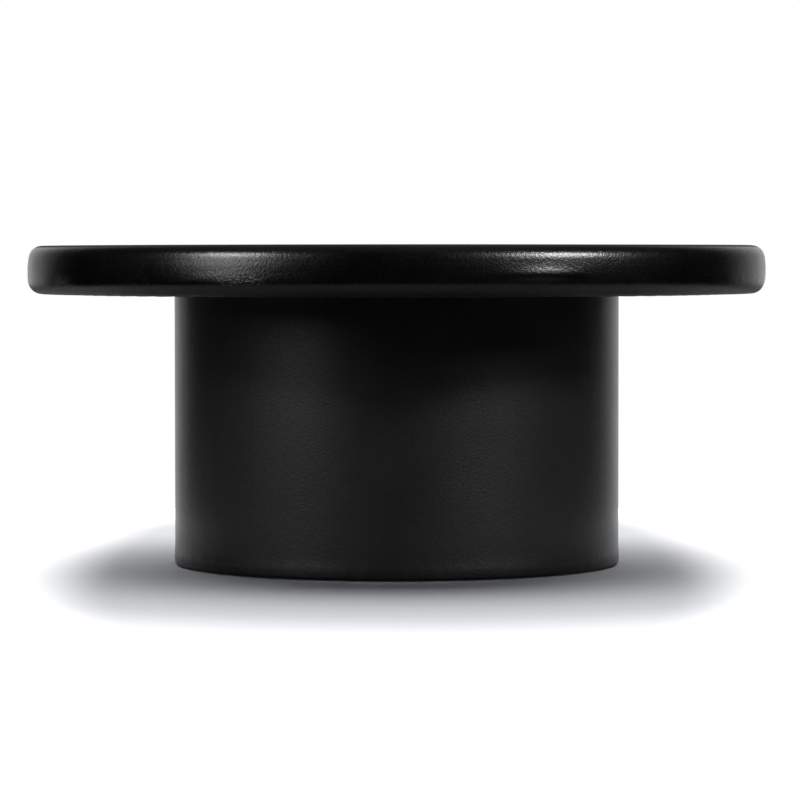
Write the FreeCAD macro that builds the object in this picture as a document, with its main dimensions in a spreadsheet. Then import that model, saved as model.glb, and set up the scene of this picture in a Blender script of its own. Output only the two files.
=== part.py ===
import FreeCAD, Part
import os
import Sketcher

# A round cocktail table: a thick leather-covered top on a leather-covered drum with levelling feet.
# The origin is on the floor under the middle of the drum, +Z is up, and lengths are in millimetres.

doc = FreeCAD.newDocument("cocktail_table")
sheet = doc.addObject("Spreadsheet::Sheet", "Sizes")

# The driving dimensions, one named cell each.
DRIVING_SIZES = (
    # The whole table and its leather
    ("table_height", "440"),
    ("top_diameter", "1016"),
    ("top_thickness", "66"),
    ("edge_radius", "19.5"),
    ("drum_diameter", "614"),
    ("drum_edge_radius", "3"),
    ("floor_gap", "2"),
    ("hide_thickness", "1.5"),
    # The hollow core of the top
    ("panel_thickness", "22"),
    ("rim_width", "60"),
    ("rim_count", "6"),
    ("rib_width", "18"),
    ("hub_diameter", "200"),
    # The leather and the dust cloth under the top
    ("top_turn_under", "55"),
    ("lining_thickness", "0.8"),
    ("lining_lap", "18"),
    # The frame and the skins of the drum
    ("drum_turn_under", "22"),
    ("wrap_thickness", "5"),
    ("seam_gap", "0.5"),
    ("ring_width", "70"),
    ("top_ring_width", "60"),
    ("ring_thickness", "24"),
    ("mid_ring_thickness", "18"),
    ("post_side", "40"),
    ("post_count", "8"),
    # Screws between the posts and the rings
    ("screw_diameter", "5"),
    ("screw_head_diameter", "10"),
    ("screw_bite", "36"),
    # Bolts, washers and threaded inserts between the drum and the top
    ("bolt_count", "4"),
    ("bolt_diameter", "8"),
    ("bolt_bite", "13"),
    ("bolt_head_flats", "13"),
    ("bolt_head_height", "5.3"),
    ("washer_diameter", "24"),
    ("washer_thickness", "2"),
    ("insert_diameter", "12"),
    ("insert_length", "16"),
    # Levelling feet
    ("foot_count", "4"),
    ("stem_diameter", "8"),
    ("stem_length", "40"),
    ("drive_slot_width", "1.6"),
    ("drive_slot_depth", "2.5"),
    ("collar_diameter", "12"),
    ("collar_height", "3"),
    ("pad_diameter", "38"),
    ("pad_thickness", "8"),
    ("pad_floor", "3"),
    ("pad_edge_radius", "1.5"),
    ("pad_headroom", "3.5"),
    ("recess_gap", "3"),
    ("tee_flange_diameter", "22"),
    ("tee_flange_thickness", "1.2"),
    ("tee_barrel_diameter", "10"),
    ("tee_barrel_length", "10.5"),
    # Staples
    ("staple_crown", "10"),
    ("staple_leg", "8"),
    ("staple_wire", "0.8"),
    ("staple_inset", "5"),
    ("top_staple_count", "72"),
    ("drum_staple_count", "48"),
    # Clearances
    ("glue_line", "0.1"),
    ("cloth_clearance", "0.4"),
    ("running_clearance", "0.08"),
    ("bolt_hole_clearance", "0.5"),
)
for row, (alias, number) in enumerate(DRIVING_SIZES, start=1):
    sheet.set(f"A{row}", alias)
    sheet.set(f"B{row}", number)
    sheet.setAlias(f"B{row}", alias)
doc.recompute()

# Heights above the floor, worked out from the driving dimensions.
TABLE_TOP = "Sizes.table_height"
UNDERSIDE = "(Sizes.table_height - Sizes.top_thickness)"
UPPER_PANEL_TOP = f"({TABLE_TOP} - Sizes.hide_thickness)"
UPPER_PANEL_BOTTOM = f"({UPPER_PANEL_TOP} - Sizes.panel_thickness)"
LOWER_PANEL_BOTTOM = f"({UNDERSIDE} + Sizes.hide_thickness)"
LOWER_PANEL_TOP = f"({LOWER_PANEL_BOTTOM} + Sizes.panel_thickness)"
LINING_BOTTOM = f"({UNDERSIDE} - Sizes.lining_thickness)"
DRUM_TOP = f"({LOWER_PANEL_BOTTOM} - Sizes.lining_thickness)"
TOP_RING_BOTTOM = f"({DRUM_TOP} - Sizes.ring_thickness)"
DRUM_BOTTOM = "Sizes.floor_gap"
BASE_RING_BOTTOM = "(Sizes.floor_gap + Sizes.hide_thickness)"
BASE_RING_TOP = f"({BASE_RING_BOTTOM} + Sizes.ring_thickness)"
MID_RING_BOTTOM = f"(({TOP_RING_BOTTOM} + {BASE_RING_TOP} - Sizes.mid_ring_thickness) / 2)"
RECESS_TOP = "(Sizes.pad_thickness + Sizes.pad_headroom + Sizes.tee_flange_thickness)"

# Radii from the middle of the table.
TOP_RADIUS = "(Sizes.top_diameter / 2)"
CORE_RADIUS = f"({TOP_RADIUS} - Sizes.hide_thickness - Sizes.glue_line)"
CORE_EDGE_RADIUS = "(Sizes.edge_radius - Sizes.hide_thickness)"
RIM_INSIDE = f"({CORE_RADIUS} - Sizes.rim_width)"
HUB_RADIUS = "(Sizes.hub_diameter / 2)"
TOP_HIDE_END = f"({TOP_RADIUS} - Sizes.edge_radius - Sizes.top_turn_under)"
LINING_STEP = f"({TOP_HIDE_END} - Sizes.cloth_clearance)"
LINING_RADIUS = f"({TOP_HIDE_END} + Sizes.lining_lap)"
DRUM_RADIUS = "(Sizes.drum_diameter / 2)"
DRUM_HIDE_INSIDE = f"({DRUM_RADIUS} - Sizes.hide_thickness)"
DRUM_HIDE_END = f"({DRUM_RADIUS} - Sizes.drum_turn_under)"
OUTER_WRAP_RADIUS = f"({DRUM_HIDE_INSIDE} - Sizes.glue_line)"
OUTER_WRAP_INSIDE = f"({OUTER_WRAP_RADIUS} - Sizes.wrap_thickness)"
INNER_WRAP_RADIUS = f"({OUTER_WRAP_INSIDE} - Sizes.glue_line)"
INNER_WRAP_INSIDE = f"({INNER_WRAP_RADIUS} - Sizes.wrap_thickness)"
RING_RADIUS = f"({INNER_WRAP_INSIDE} - Sizes.glue_line)"
RING_INSIDE = f"({RING_RADIUS} - Sizes.ring_width)"
RING_MIDDLE = f"({RING_RADIUS} - Sizes.ring_width / 2)"
TOP_RING_INSIDE = f"({RING_RADIUS} - Sizes.top_ring_width)"

# Turns round the middle: bolts start at zero, feet and posts halfway between their neighbours.
FOOT_TURN = "(180 / Sizes.foot_count)"
POST_TURN = "(180 / Sizes.post_count)"

sub_parts = []


def value(expression):
    """The number that an expression on the sheet comes to."""
    return float(sheet.evalExpression(expression))


def origin_feature(body, role):
    """One of a body's own origin planes or axes."""
    return [feature for feature in body.Origin.OriginFeatures if feature.Role == role][0]


def new_body(label, turn="0"):
    """A body for one sub-part, turned round the middle of the table."""
    body = doc.addObject("PartDesign::Body", label)
    body.Label = label
    body.Placement = FreeCAD.Placement(
        FreeCAD.Vector(0, 0, 0), FreeCAD.Rotation(FreeCAD.Vector(0, 0, 1), value(turn))
    )
    sub_parts.append(body)
    return body


def new_sketch(body, name, role):
    """A sketch on one of a body's origin planes."""
    sketch = body.newObject("Sketcher::SketchObject", name)
    sketch.AttachmentSupport = [(origin_feature(body, role), "")]
    sketch.MapMode = "FlatFace"
    return sketch


def hold_distance(sketch, kind, geometry, end, expression):
    """Ties one coordinate of a point, measured from the sketch's origin, to an expression."""
    distance = value(expression)
    if abs(distance) < 1e-9:
        axis = -2 if kind == "DistanceX" else -1
        sketch.addConstraint(Sketcher.Constraint("PointOnObject", geometry, end, axis))
    elif distance > 0:
        index = sketch.addConstraint(Sketcher.Constraint(kind, -1, 1, geometry, end, distance))
        sketch.setExpression(f"Constraints[{index}]", expression)
    else:
        index = sketch.addConstraint(Sketcher.Constraint(kind, geometry, end, -1, 1, -distance))
        sketch.setExpression(f"Constraints[{index}]", f"-({expression})")


def round_corner(sketch, corner, before, after, into, away, radius, expression):
    """Joins two sides with an arc that is tangent to both."""
    first = corner - into * radius
    last = corner + away * radius
    turns_left = into.x * away.y - into.y * away.x > 0
    start, finish = (first, last) if turns_left else (last, first)
    circle = Part.Circle(corner + (away - into) * radius, FreeCAD.Vector(0, 0, 1), radius)
    arc = sketch.addGeometry(
        Part.ArcOfCircle(circle, circle.parameter(start), circle.parameter(finish))
    )
    first_end, last_end = (1, 2) if turns_left else (2, 1)
    sketch.addConstraint(Sketcher.Constraint("Tangent", before, 2, arc, first_end))
    sketch.addConstraint(Sketcher.Constraint("Tangent", arc, last_end, after, 1))
    index = sketch.addConstraint(Sketcher.Constraint("Radius", arc, radius))
    sketch.setExpression(f"Constraints[{index}]", expression)


def outline(sketch, corners):
    """Draws a closed outline of (across, up) corners. A corner with a third value is rounded to that
    radius, and the two sides that meet there run along the sketch's axes."""
    points = [FreeCAD.Vector(value(corner[0]), value(corner[1]), 0) for corner in corners]
    radii = [value(corner[2]) if len(corner) > 2 else 0 for corner in corners]
    following = [(index + 1) % len(corners) for index in range(len(corners))]
    directions = [(points[following[index]] - point).normalize() for index, point in enumerate(points)]
    sides = []
    for index, next_one in enumerate(following):
        start = points[index] + directions[index] * radii[index]
        finish = points[next_one] - directions[index] * radii[next_one]
        sides.append(sketch.addGeometry(Part.LineSegment(start, finish)))
    for index, corner in enumerate(corners):
        before = sides[index - 1]
        after = sides[index]
        if radii[index]:
            into = directions[index - 1]
            away = directions[index]
            round_corner(sketch, points[index], before, after, into, away, radii[index], corner[2])
        else:
            sketch.addConstraint(Sketcher.Constraint("Coincident", before, 2, after, 1))
            hold_distance(sketch, "DistanceX", after, 1, corner[0])
            hold_distance(sketch, "DistanceY", after, 1, corner[1])
    for index, next_one in enumerate(following):
        if not radii[index] and not radii[next_one]:
            continue
        upright = abs(directions[index].y) > 0.5
        sketch.addConstraint(Sketcher.Constraint("Vertical" if upright else "Horizontal", sides[index]))
        if radii[index] and radii[next_one]:
            kind = "DistanceX" if upright else "DistanceY"
            hold_distance(sketch, kind, sides[index], 1, corners[index][0 if upright else 1])


def check_cut(body, cut):
    """Makes sure that a cut takes material away."""
    doc.recompute()
    if cut.Shape.Volume >= cut.BaseFeature.Shape.Volume:
        raise RuntimeError(f"{cut.Name} in {body.Label} cuts nothing")


def turned(body, name, corners, axis="0", sweep="360", cut=False, turn="0"):
    """Turns an outline of (across, up) corners round an upright axis at a distance from the middle."""
    sketch = new_sketch(body, f"{body.Label}_{name}_outline", "XZ_Plane")
    sketch.AttachmentOffset = FreeCAD.Placement(
        FreeCAD.Vector(0, 0, 0), FreeCAD.Rotation(FreeCAD.Vector(0, 1, 0), value(turn))
    )
    outline(sketch, corners)
    line = sketch.addGeometry(
        Part.LineSegment(FreeCAD.Vector(value(axis), 0, 0), FreeCAD.Vector(value(axis), 1, 0)), True
    )
    hold_distance(sketch, "DistanceX", line, 1, axis)
    hold_distance(sketch, "DistanceY", line, 1, "0")
    hold_distance(sketch, "DistanceX", line, 2, axis)
    hold_distance(sketch, "DistanceY", line, 2, "1")
    kind = "PartDesign::Groove" if cut else "PartDesign::Revolution"
    feature = body.newObject(kind, f"{body.Label}_{name}")
    feature.Profile = sketch
    feature.ReferenceAxis = (sketch, ["Axis0"])
    feature.setExpression("Angle", sweep)
    if cut:
        check_cut(body, feature)
    return feature


def padded(body, name, role, corners, offset, length, cut=False):
    """Pads an outline along the normal of an origin plane, from an offset, or cuts it the other way."""
    sketch = new_sketch(body, f"{body.Label}_{name}_outline", role)
    sketch.setExpression("AttachmentOffset.Base.z", offset)
    outline(sketch, corners)
    kind = "PartDesign::Pocket" if cut else "PartDesign::Pad"
    feature = body.newObject(kind, f"{body.Label}_{name}")
    feature.Profile = sketch
    feature.setExpression("Length", length)
    if cut:
        check_cut(body, feature)
    return feature


def repeated(body, features, count):
    """Repeats features evenly round the middle of the table."""
    pattern = body.newObject("PartDesign::PolarPattern", f"{features[0].Name}_round")
    pattern.Originals = features
    pattern.Axis = (origin_feature(body, "Z_Axis"), [""])
    pattern.Angle = 360
    pattern.setExpression("Occurrences", count)
    body.Tip = pattern
    return pattern


def box_corners(left, right, bottom, top):
    """The corners of a plain rectangle."""
    return [(left, bottom), (right, bottom), (right, top), (left, top)]


def hole_corners(axis, radius, bottom, top):
    """Half the section of a plain round hole or pin on an upright axis."""
    return box_corners(axis, f"{axis} + {radius}", bottom, top)


# The leather over the top, drawn round the edge and turned under.
def make_top_hide():
    body = new_body("top_hide")
    corners = [
        ("0", UPPER_PANEL_TOP),
        (f"{TOP_RADIUS} - Sizes.hide_thickness", UPPER_PANEL_TOP, CORE_EDGE_RADIUS),
        (f"{TOP_RADIUS} - Sizes.hide_thickness", LOWER_PANEL_BOTTOM, CORE_EDGE_RADIUS),
        (TOP_HIDE_END, LOWER_PANEL_BOTTOM),
        (TOP_HIDE_END, UNDERSIDE),
        (TOP_RADIUS, UNDERSIDE, "Sizes.edge_radius"),
        (TOP_RADIUS, TABLE_TOP, "Sizes.edge_radius"),
        ("0", TABLE_TOP),
    ]
    turned(body, "skin", corners)


# The two fibre panels, rounded at the outside, with sockets for the inserts in the lower one.
def make_panels():
    upper = new_body("upper_panel")
    turned(upper, "disc", [
        ("0", UPPER_PANEL_BOTTOM),
        (CORE_RADIUS, UPPER_PANEL_BOTTOM),
        (CORE_RADIUS, UPPER_PANEL_TOP, CORE_EDGE_RADIUS),
        ("0", UPPER_PANEL_TOP),
    ])
    lower = new_body("lower_panel")
    turned(lower, "disc", [
        ("0", LOWER_PANEL_BOTTOM),
        (CORE_RADIUS, LOWER_PANEL_BOTTOM, CORE_EDGE_RADIUS),
        (CORE_RADIUS, LOWER_PANEL_TOP),
        ("0", LOWER_PANEL_TOP),
    ])
    socket_radius = "(Sizes.insert_diameter / 2 + Sizes.glue_line)"
    socket_top = f"{LOWER_PANEL_BOTTOM} + Sizes.insert_length + Sizes.glue_line"
    socket = turned(
        lower, "socket", hole_corners(RING_MIDDLE, socket_radius, LOWER_PANEL_BOTTOM, socket_top),
        axis=RING_MIDDLE, cut=True,
    )
    repeated(lower, [socket], "Sizes.bolt_count")


# The wooden rim between the panels, in butted segments.
def make_rim_segments():
    for index in range(round(value("Sizes.rim_count"))):
        body = new_body(f"rim_segment_{index + 1}", f"{index} * 360 / Sizes.rim_count")
        corners = box_corners(RIM_INSIDE, CORE_RADIUS, LOWER_PANEL_TOP, UPPER_PANEL_BOTTOM)
        turned(body, "arc", corners, sweep="360 / Sizes.rim_count")


# The hub and the ribs of the hollow core. A rib runs to the middle of each rim segment.
def make_hub_and_ribs():
    core_height = f"{UPPER_PANEL_BOTTOM} - {LOWER_PANEL_TOP}"
    hub = doc.addObject("Part::Cylinder", "hub_block")
    hub.setExpression("Radius", HUB_RADIUS)
    hub.setExpression("Height", core_height)
    hub.Placement.Base = FreeCAD.Vector(0, 0, value(LOWER_PANEL_TOP))
    sub_parts.append(hub)
    rib_start = f"({HUB_RADIUS} + Sizes.glue_line)"
    rib_end = f"sqrt(({RIM_INSIDE} - Sizes.glue_line) ^ 2 - (Sizes.rib_width / 2) ^ 2)"
    corner = FreeCAD.Vector(value(rib_start), value("-Sizes.rib_width / 2"), value(LOWER_PANEL_TOP))
    for index in range(round(value("Sizes.rim_count"))):
        rib = doc.addObject("Part::Box", f"core_rib_{index + 1}")
        rib.setExpression("Length", f"{rib_end} - {rib_start}")
        rib.setExpression("Width", "Sizes.rib_width")
        rib.setExpression("Height", core_height)
        angle = value(f"({index} + 0.5) * 360 / Sizes.rim_count")
        rotation = FreeCAD.Rotation(FreeCAD.Vector(0, 0, 1), angle)
        rib.Placement = FreeCAD.Placement(rotation.multVec(corner), rotation)
        sub_parts.append(rib)


# The dust cloth under the top. It steps down over the edge of the turned-under leather.
def make_underside_lining():
    body = new_body("underside_lining")
    turned(body, "cloth", [
        ("0", DRUM_TOP),
        (f"{LINING_STEP} - Sizes.lining_thickness", DRUM_TOP),
        (f"{LINING_STEP} - Sizes.lining_thickness", LINING_BOTTOM),
        (LINING_RADIUS, LINING_BOTTOM),
        (LINING_RADIUS, UNDERSIDE),
        (LINING_STEP, UNDERSIDE),
        (LINING_STEP, LOWER_PANEL_BOTTOM),
        ("0", LOWER_PANEL_BOTTOM),
    ])
    hole_radius = "(Sizes.bolt_diameter / 2 + Sizes.bolt_hole_clearance)"
    hole = turned(
        body, "bolt_hole", hole_corners(RING_MIDDLE, hole_radius, DRUM_TOP, LOWER_PANEL_BOTTOM),
        axis=RING_MIDDLE, cut=True,
    )
    repeated(body, [hole], "Sizes.bolt_count")


# A round of staples whose crowns lie under a face and whose legs point up into the wood.
def make_staples(label, radius, face, count):
    body = new_body(label, f"180 / {count}")
    half_crown = "Sizes.staple_crown / 2"
    inside = "(Sizes.staple_crown / 2 - Sizes.staple_wire)"
    top = f"{face} + Sizes.staple_leg"
    crown_top = f"{face} + Sizes.staple_wire"
    corners = [
        (f"-{half_crown}", face),
        (half_crown, face),
        (half_crown, top),
        (inside, top),
        (inside, crown_top),
        (f"-{inside}", crown_top),
        (f"-{inside}", top),
        (f"-{half_crown}", top),
    ]
    staple = padded(body, "wire", "YZ_Plane", corners, radius, "Sizes.staple_wire")
    repeated(body, [staple], count)


# The plywood rings of the drum. The top one is narrower, to leave room for a hand at the bolts.
def make_drum_rings():
    top_ring = new_body("drum_top_ring")
    top_ring_corners = box_corners(TOP_RING_INSIDE, RING_RADIUS, TOP_RING_BOTTOM, DRUM_TOP)
    turned(top_ring, "ring", top_ring_corners)
    hole_radius = "(Sizes.bolt_diameter / 2 + Sizes.bolt_hole_clearance)"
    bolt_hole = turned(
        top_ring, "bolt_hole", hole_corners(RING_MIDDLE, hole_radius, TOP_RING_BOTTOM, DRUM_TOP),
        axis=RING_MIDDLE, cut=True,
    )
    repeated(top_ring, [bolt_hole], "Sizes.bolt_count")
    drill_screw_holes(top_ring, DRUM_TOP, TOP_RING_BOTTOM, "-")

    mid_ring = new_body("drum_mid_ring")
    mid_ring_top = f"({MID_RING_BOTTOM} + Sizes.mid_ring_thickness)"
    turned(mid_ring, "ring", box_corners(RING_INSIDE, RING_RADIUS, MID_RING_BOTTOM, mid_ring_top))
    notch_depth = f"{RING_MIDDLE} - Sizes.post_side / 2 - Sizes.glue_line"
    notch_side = "(Sizes.post_side / 2 + Sizes.glue_line)"
    notch = padded(
        mid_ring, "notch", "XY_Plane",
        box_corners(notch_depth, f"{RING_RADIUS} + Sizes.glue_line", f"-{notch_side}", notch_side),
        mid_ring_top, "Sizes.mid_ring_thickness", cut=True,
    )
    repeated(mid_ring, [notch], "Sizes.post_count")
    mid_ring.Placement.Rotation = FreeCAD.Rotation(FreeCAD.Vector(0, 0, 1), value(POST_TURN))

    base_ring = new_body("drum_base_ring")
    turned(base_ring, "ring", box_corners(RING_INSIDE, RING_RADIUS, BASE_RING_BOTTOM, BASE_RING_TOP))
    recess_side = f"{RING_MIDDLE} + Sizes.pad_diameter / 2 + Sizes.recess_gap"
    barrel_side = f"{RING_MIDDLE} + Sizes.tee_barrel_diameter / 2 + Sizes.glue_line"
    recess = turned(base_ring, "foot_recess", [
        (RING_MIDDLE, BASE_RING_BOTTOM),
        (recess_side, BASE_RING_BOTTOM),
        (recess_side, RECESS_TOP),
        (barrel_side, RECESS_TOP),
        (barrel_side, BASE_RING_TOP),
        (RING_MIDDLE, BASE_RING_TOP),
    ], axis=RING_MIDDLE, cut=True, turn=FOOT_TURN)
    repeated(base_ring, [recess], "Sizes.foot_count")
    drill_screw_holes(base_ring, BASE_RING_BOTTOM, BASE_RING_TOP, "+")


def drill_screw_holes(ring, head_face, post_face, inward):
    """Countersunk holes at the posts, from the face with the screw heads to the face at the posts."""
    head_side = f"{RING_MIDDLE} + Sizes.screw_head_diameter / 2 + Sizes.glue_line"
    shank_side = f"{RING_MIDDLE} + Sizes.screw_diameter / 2 + Sizes.glue_line"
    cone_end = f"{head_face} {inward} (Sizes.screw_head_diameter - Sizes.screw_diameter) / 2"
    hole = turned(ring, "screw_hole", [
        (RING_MIDDLE, head_face),
        (head_side, head_face),
        (shank_side, cone_end),
        (shank_side, post_face),
        (RING_MIDDLE, post_face),
    ], axis=RING_MIDDLE, cut=True, turn=POST_TURN)
    repeated(ring, [hole], "Sizes.post_count")


# The posts between the top and base rings, with a pilot hole in each end.
def make_posts():
    half_side = "Sizes.post_side / 2"
    pilot_radius = "(Sizes.screw_diameter / 2 + Sizes.glue_line)"
    pilot_depth = "(Sizes.screw_bite + Sizes.glue_line)"
    top_pilot_end = f"{TOP_RING_BOTTOM} - {pilot_depth}"
    base_pilot_end = f"{BASE_RING_TOP} + {pilot_depth}"
    for index in range(round(value("Sizes.post_count"))):
        body = new_body(f"post_{index + 1}", f"{POST_TURN} + {index} * 360 / Sizes.post_count")
        corners = box_corners(
            f"{RING_MIDDLE} - {half_side}", f"{RING_MIDDLE} + {half_side}", f"-{half_side}", half_side
        )
        padded(body, "block", "XY_Plane", corners, BASE_RING_TOP, f"{TOP_RING_BOTTOM} - {BASE_RING_TOP}")
        turned(
            body, "top_pilot",
            hole_corners(RING_MIDDLE, pilot_radius, top_pilot_end, TOP_RING_BOTTOM),
            axis=RING_MIDDLE, cut=True,
        )
        turned(
            body, "base_pilot",
            hole_corners(RING_MIDDLE, pilot_radius, BASE_RING_TOP, base_pilot_end),
            axis=RING_MIDDLE, cut=True,
        )


# The countersunk screws that hold a ring to the posts.
def make_post_screws(label, head_face, post_face, inward):
    body = new_body(label, POST_TURN)
    head_side = f"{RING_MIDDLE} + Sizes.screw_head_diameter / 2"
    shank_side = f"{RING_MIDDLE} + Sizes.screw_diameter / 2"
    point = f"{post_face} {inward} Sizes.screw_bite"
    outward = "-" if inward == "+" else "+"
    screw = turned(body, "screw", [
        (RING_MIDDLE, head_face),
        (head_side, head_face),
        (shank_side, f"{head_face} {inward} (Sizes.screw_head_diameter - Sizes.screw_diameter) / 2"),
        (shank_side, f"{point} {outward} Sizes.screw_diameter"),
        (RING_MIDDLE, point),
    ], axis=RING_MIDDLE)
    repeated(body, [screw], "Sizes.post_count")


# The two layers of bending plywood, each bent round and butted, with their seams on different sides.
def make_ply_wraps():
    inner = new_body("inner_ply_wrap", "210")
    inner_corners = box_corners(INNER_WRAP_INSIDE, INNER_WRAP_RADIUS, BASE_RING_BOTTOM, DRUM_TOP)
    turned(inner, "sheet", inner_corners, sweep=sweep_to_seam(INNER_WRAP_RADIUS))
    outer = new_body("outer_ply_wrap", "330")
    turned(outer, "sheet", [
        (OUTER_WRAP_INSIDE, BASE_RING_BOTTOM),
        (OUTER_WRAP_RADIUS, BASE_RING_BOTTOM, "Sizes.drum_edge_radius - Sizes.hide_thickness"),
        (OUTER_WRAP_RADIUS, DRUM_TOP),
        (OUTER_WRAP_INSIDE, DRUM_TOP),
    ], sweep=sweep_to_seam(OUTER_WRAP_RADIUS))


def sweep_to_seam(radius):
    """The angle that a sheet covers when its ends stop one seam gap apart."""
    return f"360 - Sizes.seam_gap / {radius} * 180 / pi"


# The leather round the drum, closed by an upright seam at the back and turned under at the foot.
def make_drum_hide():
    body = new_body("drum_hide", "90")
    turned(body, "skin", [
        (DRUM_HIDE_END, DRUM_BOTTOM),
        (DRUM_RADIUS, DRUM_BOTTOM, "Sizes.drum_edge_radius"),
        (DRUM_RADIUS, DRUM_TOP),
        (DRUM_HIDE_INSIDE, DRUM_TOP),
        (DRUM_HIDE_INSIDE, BASE_RING_BOTTOM, "Sizes.drum_edge_radius - Sizes.hide_thickness"),
        (DRUM_HIDE_END, BASE_RING_BOTTOM),
    ], sweep=sweep_to_seam(DRUM_RADIUS))


# The threaded inserts, bolts and washers that hold the top to the drum.
def make_top_fixings():
    inserts = new_body("threaded_inserts")
    insert_bore = f"{RING_MIDDLE} + Sizes.bolt_diameter / 2 + Sizes.running_clearance"
    insert_side = f"{RING_MIDDLE} + Sizes.insert_diameter / 2"
    insert_top = f"{LOWER_PANEL_BOTTOM} + Sizes.insert_length"
    insert = turned(
        inserts, "sleeve",
        box_corners(insert_bore, insert_side, LOWER_PANEL_BOTTOM, insert_top),
        axis=RING_MIDDLE,
    )
    repeated(inserts, [insert], "Sizes.bolt_count")

    washers = new_body("bolt_washers")
    washer_bottom = f"({TOP_RING_BOTTOM} - Sizes.washer_thickness)"
    washer_bore = f"{RING_MIDDLE} + Sizes.bolt_diameter / 2 + Sizes.bolt_hole_clearance"
    washer_side = f"{RING_MIDDLE} + Sizes.washer_diameter / 2"
    washer = turned(
        washers, "disc",
        box_corners(washer_bore, washer_side, washer_bottom, TOP_RING_BOTTOM),
        axis=RING_MIDDLE,
    )
    repeated(washers, [washer], "Sizes.bolt_count")

    bolts = new_body("top_bolts")
    half_flats = "Sizes.bolt_head_flats / 2"
    half_side = "(Sizes.bolt_head_flats / 2 / sqrt(3))"
    corner_reach = "(Sizes.bolt_head_flats / sqrt(3))"
    head = padded(bolts, "head", "XY_Plane", [
        (f"{RING_MIDDLE} - {half_side}", f"-{half_flats}"),
        (f"{RING_MIDDLE} + {half_side}", f"-{half_flats}"),
        (f"{RING_MIDDLE} + {corner_reach}", "0"),
        (f"{RING_MIDDLE} + {half_side}", half_flats),
        (f"{RING_MIDDLE} - {half_side}", half_flats),
        (f"{RING_MIDDLE} - {corner_reach}", "0"),
    ], f"{washer_bottom} - Sizes.bolt_head_height", "Sizes.bolt_head_height")
    bolt_end = f"{LOWER_PANEL_BOTTOM} + Sizes.bolt_bite"
    shank = turned(
        bolts, "shank",
        hole_corners(RING_MIDDLE, "Sizes.bolt_diameter / 2", washer_bottom, bolt_end),
        axis=RING_MIDDLE,
    )
    repeated(bolts, [head, shank], "Sizes.bolt_count")


# The sockets in the base ring for the feet, each with its flange against the roof of a recess.
def make_tee_nuts():
    body = new_body("tee_nuts", FOOT_TURN)
    bore = f"{RING_MIDDLE} + Sizes.stem_diameter / 2 + Sizes.running_clearance"
    flange_side = f"{RING_MIDDLE} + Sizes.tee_flange_diameter / 2"
    barrel_side = f"{RING_MIDDLE} + Sizes.tee_barrel_diameter / 2"
    nut = turned(body, "nut", [
        (bore, f"{RECESS_TOP} - Sizes.tee_flange_thickness"),
        (flange_side, f"{RECESS_TOP} - Sizes.tee_flange_thickness"),
        (flange_side, RECESS_TOP),
        (barrel_side, RECESS_TOP),
        (barrel_side, f"{RECESS_TOP} + Sizes.tee_barrel_length"),
        (bore, f"{RECESS_TOP} + Sizes.tee_barrel_length"),
    ], axis=RING_MIDDLE)
    repeated(body, [nut], "Sizes.foot_count")


# The levelling feet: a stem with a collar that turns inside a moulded pad.
def make_levellers():
    collar_bottom = "(Sizes.pad_floor + Sizes.running_clearance)"
    collar_top = f"({collar_bottom} + Sizes.collar_height)"
    collar_side = f"{RING_MIDDLE} + Sizes.collar_diameter / 2"
    stem_side = f"{RING_MIDDLE} + Sizes.stem_diameter / 2"
    stem_top = f"({collar_bottom} + Sizes.stem_length)"
    pad_side = f"{RING_MIDDLE} + Sizes.pad_diameter / 2"
    socket_top = f"{collar_top} + Sizes.running_clearance"
    half_slot = "Sizes.drive_slot_width / 2"
    for index in range(round(value("Sizes.foot_count"))):
        turn = f"{FOOT_TURN} + {index} * 360 / Sizes.foot_count"
        stem = new_body(f"leveller_stem_{index + 1}", turn)
        turned(stem, "rod", [
            (RING_MIDDLE, collar_bottom),
            (collar_side, collar_bottom),
            (collar_side, collar_top),
            (stem_side, collar_top),
            (stem_side, stem_top),
            (RING_MIDDLE, stem_top),
        ], axis=RING_MIDDLE)
        padded(
            stem, "drive_slot", "XY_Plane",
            box_corners(f"{RING_MIDDLE} - Sizes.stem_diameter", f"{RING_MIDDLE} + Sizes.stem_diameter",
                        f"-{half_slot}", half_slot),
            stem_top, "Sizes.drive_slot_depth", cut=True,
        )
        pad = new_body(f"leveller_pad_{index + 1}", turn)
        turned(pad, "disc", [
            (RING_MIDDLE, "0"),
            (pad_side, "0", "Sizes.pad_edge_radius"),
            (pad_side, "Sizes.pad_thickness", "Sizes.pad_edge_radius"),
            (f"{stem_side} + Sizes.running_clearance", "Sizes.pad_thickness"),
            (f"{stem_side} + Sizes.running_clearance", socket_top),
            (f"{collar_side} + Sizes.running_clearance", socket_top),
            (f"{collar_side} + Sizes.running_clearance", "Sizes.pad_floor"),
            (RING_MIDDLE, "Sizes.pad_floor"),
        ], axis=RING_MIDDLE)


make_top_hide()
make_panels()
make_rim_segments()
make_hub_and_ribs()
make_staples("hide_staples", f"{TOP_HIDE_END} + Sizes.staple_inset", UNDERSIDE, "Sizes.top_staple_count")
make_underside_lining()
make_staples(
    "lining_staples", f"{LINING_RADIUS} - Sizes.staple_inset", LINING_BOTTOM, "Sizes.top_staple_count"
)
make_drum_rings()
make_posts()
make_post_screws("top_post_screws", DRUM_TOP, TOP_RING_BOTTOM, "-")
make_post_screws("base_post_screws", BASE_RING_BOTTOM, BASE_RING_TOP, "+")
make_ply_wraps()
make_drum_hide()
make_staples(
    "drum_staples", f"{DRUM_HIDE_END} + Sizes.staple_inset", DRUM_BOTTOM, "Sizes.drum_staple_count"
)
make_top_fixings()
make_tee_nuts()
make_levellers()

doc.recompute()
for item in doc.Objects:
    if "Invalid" in item.State or "Error" in item.State:
        raise RuntimeError(f"{item.Label} failed: {item.State}")
for sub_part in sub_parts:
    if sub_part.Shape.isNull() or not sub_part.Shape.isValid():
        raise RuntimeError(f"{sub_part.Label} has no valid shape")

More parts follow.
